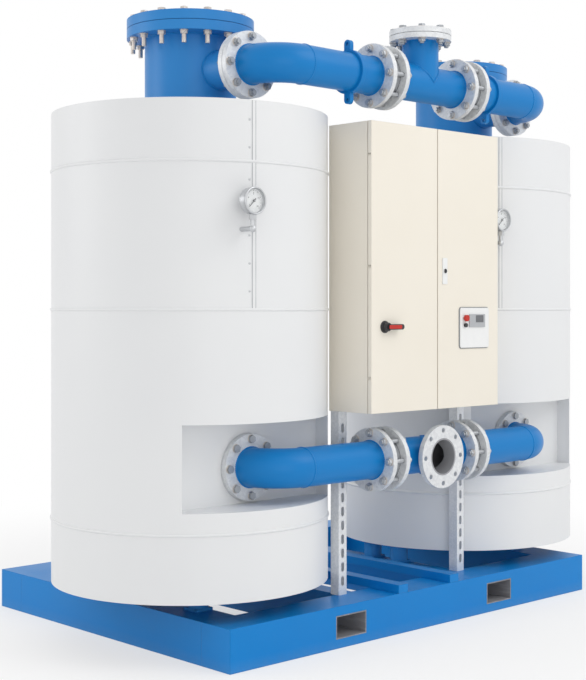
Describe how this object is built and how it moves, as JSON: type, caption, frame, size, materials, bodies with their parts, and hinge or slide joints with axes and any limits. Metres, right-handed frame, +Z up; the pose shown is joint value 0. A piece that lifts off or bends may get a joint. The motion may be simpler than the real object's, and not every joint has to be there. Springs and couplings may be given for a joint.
{
  "type": "desiccant air dryer",
  "caption": "Skid-mounted twin-tower desiccant air dryer: clad vessels joined by flanged headers with wafer check valves, and a control cabinet with doors.",
  "frame": {"origin": "on the floor under the middle of the machine's box", "axes": "+X along the skid from the left tower to the right, -Y towards the front with the cabinet, +Z up"},
  "size_m": [3.034, 1.8069, 2.7465],
  "materials": {
    "skid_paint": "satin blue paint",
    "pocket_steel": "dark primer",
    "vessel_paint": "satin blue paint",
    "pipe_paint": "satin blue paint",
    "desiccant": "white beads",
    "mineral_wool": "fibrous",
    "cladding": "satin light grey sheet",
    "flange_zinc": "galvanised",
    "gasket_fibre": "matt",
    "valve_steel": "turned",
    "bolt_zinc": "zinc plated",
    "cabinet_paint": "fine textured cream powder coat",
    "plate_zinc": "galvanised",
    "strut_zinc": "galvanised",
    "black_plastic": "moulded",
    "red_plastic": "moulded",
    "white_plastic": "moulded",
    "display_plastic": "moulded",
    "gauge_steel": "polished case",
    "needle_black": "matt black",
    "gauge_glass": "clear"
  },
  "bodies": {
    "machine": {"front_rail": "skid_paint", "rear_rail": "skid_paint", "end_rails": "skid_paint", "cross_members": "skid_paint", "fork_pockets": "pocket_steel", "conduit_bars": "skid_paint", "left_vessel": "vessel_paint", "right_vessel": "vessel_paint", "left_desiccant_bed": "desiccant", "right_desiccant_bed": "desiccant", "left_insulation": "mineral_wool", "right_insulation": "mineral_wool", "left_neck_cover": "vessel_paint", "right_neck_cover": "vessel_paint", "left_base_band": "cladding", "right_base_band": "cladding", "left_main_band": "cladding", "right_main_band": "cladding", "left_upper_band": "cladding", "right_upper_band": "cladding", "left_top_band": "cladding", "right_top_band": "cladding", "left_upper_bend": "pipe_paint", "right_upper_bend": "pipe_paint", "upper_tee": "pipe_paint", "left_lower_bend": "pipe_paint", "right_lower_bend": "pipe_paint", "lower_tee": "pipe_paint", "weld_flanges": "flange_zinc", "pipe_flanges": "flange_zinc", "port_flange": "flange_zinc", "vent_blind": "flange_zinc", "gaskets": "gasket_fibre", "valve_bodies": "flange_zinc", "flange_bolts": "bolt_zinc", "valve_studs": "bolt_zinc", "cover_bolts": "bolt_zinc", "lug_collars": "pipe_paint", "cabinet_body": "cabinet_paint", "mounting_plate": "plate_zinc", "strut_posts": "strut_zinc", "left_gauge": "gauge_steel", "right_gauge": "gauge_steel", "gauge_glasses": "gauge_glass"},
    "left_door": {"left_door": "cabinet_paint", "switch_base": "black_plastic"},
    "switch_handle": {"switch_handle": "black_plastic"},
    "right_door": {"right_door": "cabinet_paint", "lock_plate": "white_plastic", "operator_panel": "white_plastic", "display": "display_plastic"},
    "lock_barrel": {"lock_barrel": "black_plastic"},
    "stop_button": {"stop_button": "red_plastic"},
    "start_button": {"start_button": "black_plastic"},
    "left_needle": {"left_needle": "needle_black"},
    "right_needle": {"right_needle": "needle_black"},
    "upper_left_disc": {"upper_left_disc": "valve_steel"},
    "upper_right_disc": {"upper_right_disc": "valve_steel"},
    "lower_left_disc": {"lower_left_disc": "valve_steel"},
    "lower_right_disc": {"lower_right_disc": "valve_steel"}
  },
  "joints": [
    {"name": "left_door_hinge", "type": "hinge", "parent": "machine", "child": "left_door", "pos_m": [-0.429, -0.85725, 1.6375], "axis": [0, 0, -1], "range_deg": [0, 110]},
    {"name": "right_door_hinge", "type": "hinge", "parent": "machine", "child": "right_door", "pos_m": [0.429, -0.85725, 1.6375], "axis": [0, 0, 1], "range_deg": [0, 110]},
    {"name": "switch_turn", "type": "hinge", "parent": "left_door", "child": "switch_handle", "pos_m": [-0.353, -0.86725, 1.377], "axis": [0, -1, 0], "range_deg": [0, 90]},
    {"name": "lock_turn", "type": "hinge", "parent": "right_door", "child": "lock_barrel", "pos_m": [0.048, -0.86725, 1.629], "axis": [0, 1, 0], "range_deg": [0, 90]},
    {"name": "stop_button_press", "type": "slide", "parent": "right_door", "child": "stop_button", "axis": [0, 1, 0], "range_m": [0, 0.005], "stiffness_N_per_m": 900},
    {"name": "start_button_press", "type": "slide", "parent": "right_door", "child": "start_button", "axis": [0, 1, 0], "range_m": [0, 0.005], "stiffness_N_per_m": 900},
    {"name": "left_needle_turn", "type": "hinge", "parent": "machine", "child": "left_needle", "pos_m": [-1.10425, -0.82666, 1.89], "axis": [0, 1, 0], "range_deg": [0, 270]},
    {"name": "right_needle_turn", "type": "hinge", "parent": "machine", "child": "right_needle", "pos_m": [0.57168, -0.76127, 1.89], "axis": [0, 1, 0], "range_deg": [0, 270]},
    {"name": "upper_left_disc_swing", "type": "hinge", "parent": "machine", "child": "upper_left_disc", "pos_m": [-0.2864, -0.7624, 2.558], "axis": [0, -1, 0], "range_deg": [0, 60]},
    {"name": "upper_right_disc_swing", "type": "hinge", "parent": "machine", "child": "upper_right_disc", "pos_m": [0.2864, -0.7624, 2.558], "axis": [0, 1, 0], "range_deg": [0, 60]},
    {"name": "lower_left_disc_swing", "type": "hinge", "parent": "machine", "child": "lower_left_disc", "pos_m": [-0.2736, -0.7624, 0.851], "axis": [0, 1, 0], "range_deg": [0, 60]},
    {"name": "lower_right_disc_swing", "type": "hinge", "parent": "machine", "child": "lower_right_disc", "pos_m": [0.2736, -0.7624, 0.851], "axis": [0, -1, 0], "range_deg": [0, 60]}
  ]
}
